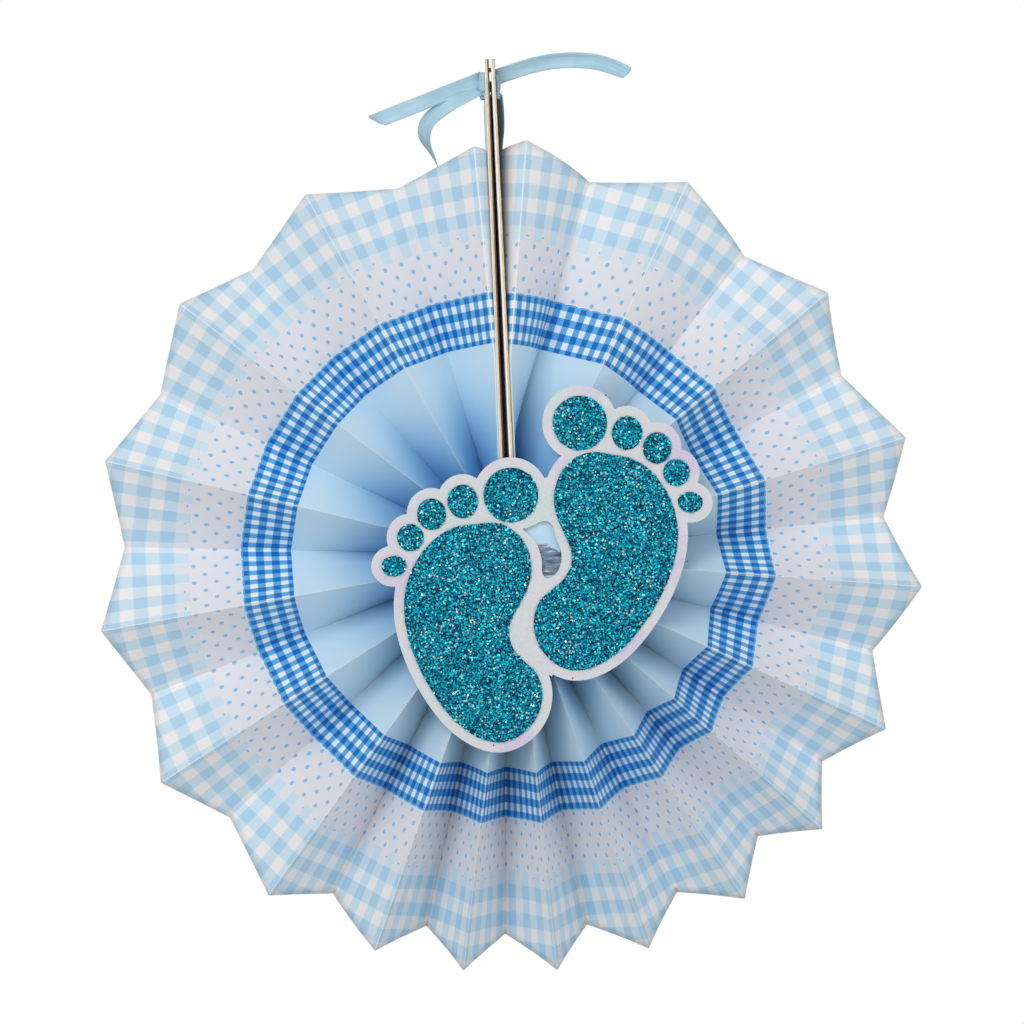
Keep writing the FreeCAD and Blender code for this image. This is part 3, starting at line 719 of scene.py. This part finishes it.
def add_glitter(node, finish):
    """A field's bed from the part's own shape, covered in flakes."""
    mesh = nodes[node].data
    points = [v.co.copy() for v in mesh.vertices]
    faces = [tuple(f.vertices) for f in mesh.polygons]
    tones = [(0.1, 0.5)] * len(points)
    front = min(p.y for p in points)
    field = BVHTree.FromPolygons(points, faces)
    xs, zs = [p.x for p in points], [p.z for p in points]
    z = min(zs)
    while z < max(zs):
        x = min(xs)
        while x < max(xs):
            fx = x + chance.uniform(-FLAKE_JITTER, FLAKE_JITTER)
            fz = z + chance.uniform(-FLAKE_JITTER, FLAKE_JITTER)
            if field.ray_cast(Vector((fx, front - RAY_START, fz)), Vector((0, 1, 0)), RAY_REACH)[0]:
                middle = Vector((fx, front - chance.uniform(*FLAKE_LIFT), fz))
                add_flake(points, faces, tones, middle, flake_way(0.28), FLAKE * chance.uniform(0.75, 1.15))
            x += FLAKE_PITCH
        z += FLAKE_PITCH
    if node == "left_sole_glitter":
        add_strays(points, faces, tones)
    piece = make_mesh(node.replace("_glitter", "_flakes"), points, faces, {"Flake": tones}, (finish,))
    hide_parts(node)
    return piece


def add_strays(points, faces, tones):
    """The flakes that lie on the footprint card."""
    for x, z in STRAYS:
        middle = Vector((x, FRONT_OF_CARD - 0.0002, z))
        add_flake(points, faces, tones, middle, flake_way(0.2), FLAKE * 0.8)


CARD_ROUNDING = 0.0008


def add_card_with_bevel(finish):
    """The footprint card with its cut edge rounded over."""
    mesh = nodes["footprint_card"].data.copy()
    mesh.name = "footprint_plate"
    mesh.materials.clear()
    mesh.materials.append(finish)
    piece = bpy.data.objects.new("footprint_plate", mesh)
    bpy.context.collection.objects.link(piece)
    bevel = piece.modifiers.new("edge", "BEVEL")
    bevel.limit_method = "ANGLE"
    bevel.angle_limit = math.radians(50)
    bevel.width = CARD_ROUNDING
    bevel.segments = 3
    sharpen(mesh, 35)
    return piece


# The ribbon.

SATIN, WRAP_SATIN = 0.00025, 0.0002
STRIP_COLUMNS = 9
# The cut end and the tucked start take this share of a strip's length.
END_SHARE = 0.1
CUT_SLANT, CUT_ROUNDING = 0.0012, 0.0007
TWIST_LEFT, TWIST_RIGHT, DROOP = 4, 18, 20


def routed(route):
    """Points read from a smooth curve through the part's route."""
    curve = bpy.data.curves.new("route", "CURVE")
    curve.dimensions = "3D"
    spline = curve.splines.new("NURBS")
    spline.points.add(len(route) - 1)
    for point, (x, y, z) in zip(spline.points, route):
        point.co = (x / 1000 + math.copysign(KNOT_REACH, x), y / 1000, z / 1000, 1)
    spline.order_u = 3
    spline.use_endpoint_u = True
    spline.resolution_u = 14
    holder = bpy.data.objects.new("route", curve)
    bpy.context.collection.objects.link(holder)
    mesh = bpy.data.meshes.new_from_object(holder)
    points = [v.co.copy() for v in mesh.vertices]
    bpy.data.objects.remove(holder)
    bpy.data.meshes.remove(mesh)
    if len(points) == 2:
        points = [points[0].lerp(points[1], i / 40) for i in range(41)]
    return points


def length_of(points):
    """Length of a line through points."""
    return sum((b - a).length for a, b in zip(points, points[1:]))


def end_reach(share, s, slant, tuck):
    """How far an edge point lies ahead of its row: slanted and rounded at the cut, tucked in at the knot."""
    reach = 0.0
    if share > 1 - END_SHARE:
        cut = slant * s * CUT_SLANT - CUT_ROUNDING * s ** 4
        reach = cut * (share - (1 - END_SHARE)) / END_SHARE
    return reach + tuck * min(0, s) * max(0, 1 - share / END_SHARE)


def add_strip(name, route, turn, twist, slant, tuck, cup, finish):
    """A flat ribbon: its face turned about the route, twisting along it, with a rounded, slanted end."""
    path = routed(route)
    total = length_of(path)
    along = (path[1] - path[0]).normalized()
    across = Quaternion(along, math.radians(turn)) @ along.cross(Vector((0, 1, 0))).normalized()
    points, ribbon, gone = [], [], 0.0
    for i, here in enumerate(path):
        ahead = path[min(i + 1, len(path) - 1)] - path[max(i - 1, 0)]
        across = (along.rotation_difference(ahead.normalized()) @ across).normalized()
        along = ahead.normalized()
        gone += (path[i] - path[i - 1]).length if i else 0
        share = gone / total
        wide = Quaternion(along, math.radians(twist(share))) @ across
        face = along.cross(wide)
        for j in range(STRIP_COLUMNS):
            s = j / (STRIP_COLUMNS - 1) * 2 - 1
            reach = end_reach(share, s, slant, tuck)
            lift = cup(share) * (s * s - 0.4)
            points.append(here + wide * (s * SHOWN_WIDTH / 2) + face * lift + along * reach)
            ribbon.append((gone, s * RIBBON / 2))
    faces = [(a, a + 1, a + STRIP_COLUMNS + 1, a + STRIP_COLUMNS) for i in range(len(path) - 1)
             for a in range(i * STRIP_COLUMNS, (i + 1) * STRIP_COLUMNS - 1)]
    piece = make_mesh(name, points, faces, {"Ribbon": ribbon}, (finish,))
    smooth_faces(piece.data)
    thicken(piece, SATIN, 0)
    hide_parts("hanging_ribbon")
    return piece, path, total


def wrap(points, faces, ribbon, x, side, low, high, depth, thickness):
    """A fold of ribbon bulging out from a card's face."""
    first = len(points)
    rings, around = 9, 9
    for i in range(rings):
        t = i / (rings - 1)
        z = low + (high - low) * t
        for j in range(around):
            angle = math.pi * j / (around - 1)
            fullness = 0.55 + 0.45 * math.sin(math.pi * (0.1 + 0.8 * t))
            swell = thickness * math.sin(angle) ** 0.6 * fullness
            points.append(Vector((x + side * swell, -depth * math.cos(angle), z)))
            ribbon.append((z, -depth * math.cos(angle)))
    for i in range(rings - 1):
        for j in range(around - 1):
            a = first + i * around + j
            quad = (a, a + 1, a + around + 1, a + around)
            faces.append(quad if side < 0 else quad[::-1])


def join_rings(faces, first, rings, around):
    """Faces between neighbouring closed rings of points."""
    for i in range(rings - 1):
        for j in range(around):
            a, b = first + i * around + j, first + i * around + (j + 1) % around
            faces.append((a, b, b + around, a + around))


def tube(points, faces, ribbon, start, end, radius, squash):
    """A rounded strand between two points, flattened from front to back by squash."""
    first, rings, around = len(points), 7, 14
    back = Vector((0, 1, 0))
    up = (end - start).normalized().cross(back).normalized()
    for step in range(rings):
        here = start.lerp(end, step / (rings - 1))
        for j in range(around):
            angle = 2 * math.pi * j / around
            points.append(here + back * math.cos(angle) * radius * squash + up * math.sin(angle) * radius)
            ribbon.append(((here - start).length, angle * radius))
    join_rings(faces, first, rings, around)


# Wraps of the knot: side, lower and upper edge, and how far the wrap bulges out.
WRAPS = ((-1, -0.0048, 0.0050, 0.0024), (1, -0.0050, 0.0040, 0.0014))
WRAP_DEPTH, BINDING, BINDING_DEPTH, BINDING_LIFT = 0.0026, 0.0022, 0.0031, 0.0004
# The cards lean right at the knot: the wraps' shift, and the lean in the gap for each metre of depth.
WRAP_CLEARANCE, WRAP_SHIFT, GAP_LEAN = 0.00005, 0.0009, 0.062
BUNDLE_RADIUS, BUNDLE_SHORT = 0.0018, 0.0002
# Strands between the cards: depth, upper and lower end. One is above the bundle and one below it.
CROSSINGS = ((-0.008, 0.0052, 0.0050), (-0.009, -0.0018, -0.0026))
CROSSING_RADIUS, CROSSING_HALF = 0.0008, 0.0006


def add_knot(finish):
    """Wraps on both cards, the bundle through the holes and the strands between the cards."""
    points, faces, ribbon = [], [], []
    for side, low, high, bulge in WRAPS:
        face = side * (GAP / 2 + CARD + WRAP_CLEARANCE) + WRAP_SHIFT
        wrap(points, faces, ribbon, face, side, low, high, WRAP_DEPTH, bulge)
        wrap(points, faces, ribbon, face, side, -BINDING, BINDING, BINDING_DEPTH, bulge + BINDING_LIFT)
    reach = KNOT_REACH - BUNDLE_SHORT
    tube(points, faces, ribbon, Vector((-reach, 0, 0)), Vector((reach, 0, 0)), BUNDLE_RADIUS, 1.0)
    for y, high, low in CROSSINGS:
        middle = GAP_LEAN * (y + PANEL / 2)
        tube(points, faces, ribbon, Vector((middle - CROSSING_HALF, y, low)),
             Vector((middle + CROSSING_HALF, y, high)), CROSSING_RADIUS, 0.6)
    # A thin strand hangs below them.
    tube(points, faces, ribbon, Vector((0.0008, -0.004, -0.0035)), Vector((0.0003, -0.004, -0.0105)),
         0.0003, 2.0)
    piece = make_mesh("ribbon_knot", points, faces, {"Ribbon": ribbon}, (finish,))
    smooth_faces(piece.data)
    thicken(piece, WRAP_SATIN, -1)
    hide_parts("hanging_ribbon")
    return piece


def loop_twist(share):
    """Degrees that the loop's face turns along it: to the front at first, then edge on."""
    if share > 0.5:
        return 35 * (2 * share - 1)
    return 62 * ramp(share, 0.15, 0.12) - 40 * ramp(share, 0, 0.08)


def add_ribbon(finish):
    """The knot, both tails and the loop."""
    pieces = [add_knot(finish)]
    plans = [
        ("ribbon_left_tail", LEFT_TAIL, 0, lambda t: TWIST_LEFT * t, -2.0, 0.0013, lambda t: 0.0003, "bare"),
        ("ribbon_right_tail", RIGHT_TAIL, 0, lambda t: TWIST_RIGHT * math.sin(math.pi * t) - DROOP * t * t,
         0.9, 0.0, lambda t: 0.0006 + 0.0012 * t, "bare"),
        ("ribbon_loop", LOOP, 50, loop_twist, 0.0, 0.0, lambda t: 0.0003, "object"),
    ]
    for name, route, turn, twist, slant, tuck, cup, far_end in plans:
        piece, path, total = add_strip(name, route, turn, twist, slant, tuck, cup, finish)
        pieces.append(piece)
    return pieces


# The glue.

BLOB_X, BLOB_Z, BLOB_RADIUS = 0.0098, -0.0034, 0.0094
BLOB_EDGE, BLOB_CROWN = -0.0170, 0.0007
PLUG_RADIUS = 0.0059


def add_glue(finish):
    """An uneven blob that shows in the window, and the plug behind it."""
    points, faces = [], []
    rings, around = 8, 60
    for i in range(rings):
        t = i / (rings - 1)
        for j in range(around):
            angle = 2 * math.pi * j / around
            far = BLOB_RADIUS + 0.0006 * math.sin(5 * angle + 1.0) + 0.0004 * math.sin(11 * angle)
            points.append(HUB + Vector((BLOB_X + far * t * math.cos(angle),
                                        BLOB_EDGE - BLOB_CROWN * (1 - t ** 4),
                                        BLOB_Z + far * t * math.sin(angle) * 0.95)))
    join_rings(faces, 0, rings, around)
    first = len(points)
    for depth in (-PANEL / 2, PANEL / 2):
        for j in range(around):
            angle = 2 * math.pi * j / around
            points.append(HUB + Vector((PLUG_RADIUS * math.cos(angle), depth,
                                        PLUG_RADIUS * math.sin(angle))))
    join_rings(faces, first, 2, around)
    faces.append(tuple(first + around + j for j in range(around)))
    piece = make_mesh("glue_blob", points, faces, {}, (finish,))
    sharpen(piece.data, 50)
    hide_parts("hub_glue")
    return piece


def add_pressed_pleat(finish):
    """The pleat that the footprint card presses flat behind its window."""
    top, bottom = 0.0164, 0.001
    corners = [(0.002, top), (0.0082, top), (0.0155, top), (0.0005, bottom), (0.0122, bottom),
               (0.0185, bottom)]
    crease = (1, 4)
    points = [HUB + Vector((x, -PANEL / 2 - PAPER * (i in crease), z))
              for i, (x, z) in enumerate(corners)]
    strip = [(PANEL * (4.2 + x / PANEL), 0.05 + z) for x, z in corners]
    piece = make_mesh("pressed_pleat", points, [(0, 1, 4, 3), (1, 2, 5, 4)], {"Strip": strip}, (finish,))
    thicken(piece, PAPER, -1)
    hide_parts("pleated_fan")
    return piece


# Everything of the fan.

print_side = printed_paper()
fan_sheet = add_sheet(print_side, plain_paper())
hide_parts("pleated_fan")
plate = add_card_with_bevel(pearl_card())
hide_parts("footprint_card")
flakes = glitter_finish()
shown = [fan_sheet, add_pressed_pleat(print_side), plate, add_glue(glue_finish())]
shown += [add_glitter(node, flakes) for node in GLITTER]
shown += add_ribbon(satin())
for name, lining in LININGS.items():
    shown.append(add_end_card(name, chipboard(name.replace("_end_card", "_board"), *lining)))
for piece in shown:
    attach(piece, body)


# The stage: white floor and background, camera and lamps.

ROLL, YAW, PITCH = math.radians(2.7), math.radians(-3.966), math.radians(0.868)
SENSOR = 36
DISTANCE, FOCAL = 1.3, 3516.3 / 1024 * SENSOR
AIM = Vector((0.000799, 0, 0.016172))
LAMP_AIM = Vector((0, 0, -0.17))


def unrolled(v):
    """A direction of the photograph's upright frame in the fan's own frame."""
    return Vector((v.x * math.cos(ROLL) + v.z * math.sin(ROLL), v.y,
                   v.z * math.cos(ROLL) - v.x * math.sin(ROLL)))


def add_camera():
    """Camera at the photograph's place."""
    ahead = Vector((-math.sin(YAW) * math.cos(PITCH), math.cos(YAW) * math.cos(PITCH), -math.sin(PITCH)))
    right = Vector((math.cos(YAW), math.sin(YAW), 0))
    up = right.cross(ahead)
    spot = AIM - ahead * DISTANCE
    ahead, right, up, spot = (unrolled(v) for v in (ahead, right, up, spot))
    data = bpy.data.cameras.new("camera")
    data.lens = FOCAL
    data.sensor_width = SENSOR
    data.clip_start = 0.01
    camera = bpy.data.objects.new("camera", data)
    bpy.context.collection.objects.link(camera)
    turn = Matrix((right, up, -ahead)).transposed()
    camera.matrix_world = Matrix.Translation(HUB + spot) @ turn.to_4x4()
    bpy.context.scene.camera = camera


def add_lamp(name, spot, size, power):
    """A square soft lamp aimed at the fan."""
    data = bpy.data.lights.new(name, "AREA")
    data.size = size
    data.energy = power
    lamp = bpy.data.objects.new(name, data)
    bpy.context.collection.objects.link(lamp)
    lamp.location = spot
    lamp.rotation_euler = (LAMP_AIM - Vector(spot)).to_track_quat("-Z", "Y").to_euler()


def add_floor():
    """A pale floor that the camera sees as plain white."""
    made, graph, _ = material("floor", (0.8, 0.8, 0.8, 1.0), 0.9)
    glow = graph.add("ShaderNodeEmission")
    glow.inputs[0].default_value = (1, 1, 1, 1)
    path = graph.add("ShaderNodeLightPath")
    mix = graph.add("ShaderNodeMixShader")
    graph.feed(mix.inputs[0], path.outputs["Is Camera Ray"])
    graph.tree.links.new(graph.tree.nodes["Principled BSDF"].outputs[0], mix.inputs[1])
    graph.tree.links.new(glow.outputs[0], mix.inputs[2])
    graph.tree.links.new(mix.outputs[0], graph.tree.nodes["Material Output"].inputs[0])
    # Half its width, and its height below the hanging eye.
    edge, low = 4.0, -0.42
    corners = [(-edge, -edge, low), (edge, -edge, low), (edge, edge, low), (-edge, edge, low)]
    make_mesh("floor", corners, [(0, 1, 2, 3)], {}, (made,))


def add_world():
    """White behind the fan, softer as a light."""
    world = bpy.data.worlds.new("world")
    world.use_nodes = True
    bpy.context.scene.world = world
    graph = Graph(world.node_tree)
    back = world.node_tree.nodes["Background"]
    path = graph.add("ShaderNodeLightPath")
    back.inputs[0].default_value = (1, 1, 1, 1)
    graph.feed(back.inputs[1], graph.smooth(path.outputs["Is Camera Ray"], 0.0, 1.0, 0.5, 1.0))


add_camera()
add_floor()
add_world()
add_lamp("key", (-0.6, -1.4, 0.65), 0.9, 12.0)
add_lamp("fill", (1.1, -1.0, 0.0), 1.0, 3.6)
bpy.context.scene.view_settings.view_transform = "Standard"
